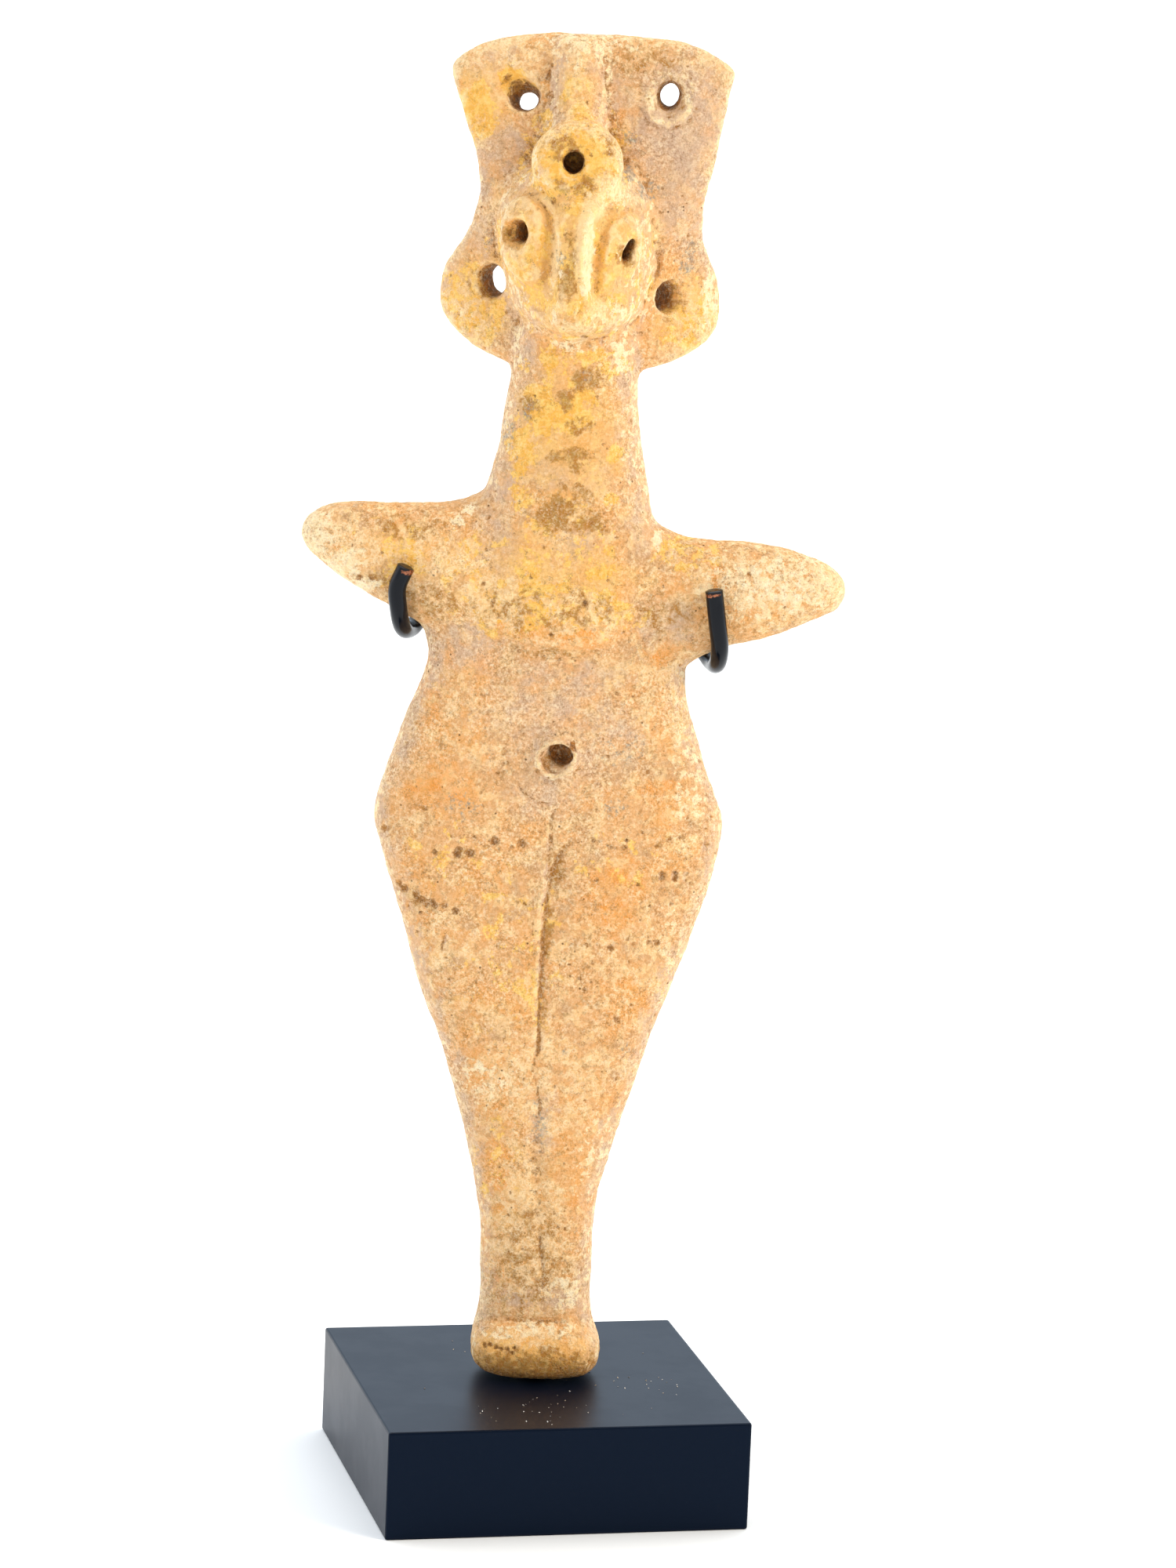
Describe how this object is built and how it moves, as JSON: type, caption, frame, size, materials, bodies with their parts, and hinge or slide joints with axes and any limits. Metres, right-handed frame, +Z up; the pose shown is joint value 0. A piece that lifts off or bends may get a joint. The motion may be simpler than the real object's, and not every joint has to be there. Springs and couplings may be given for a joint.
{
  "type": "terracotta goddess figurine on a rod cradle and plinth",
  "caption": "Slim bird-faced terracotta goddess figurine with pierced fan headdress and stub arms, held upright by a bent-rod cradle on a square black plinth.",
  "frame": {"origin": "middle of the plinth's underside", "axes": "+Z up, -Y out of the plinth's front face, +X to the right seen from the front; the figurine is turned 12.8 degrees from the plinth's front"},
  "size_m": [0.0722, 0.05, 0.1994],
  "materials": {
    "terracotta": "unglazed, mottled buff to orange clay, fine pores and grit, yellow and grey-brown burial deposits",
    "painted_rod": "glossy black paint, coppery bare metal at the two cut ends",
    "acrylic_block": "satin blue-black, sawn and polished, faint dust"
  },
  "bodies": {
    "root": {"figurine": "terracotta", "cradle": "painted_rod", "plinth": "acrylic_block"}
  },
  "joints": []
}
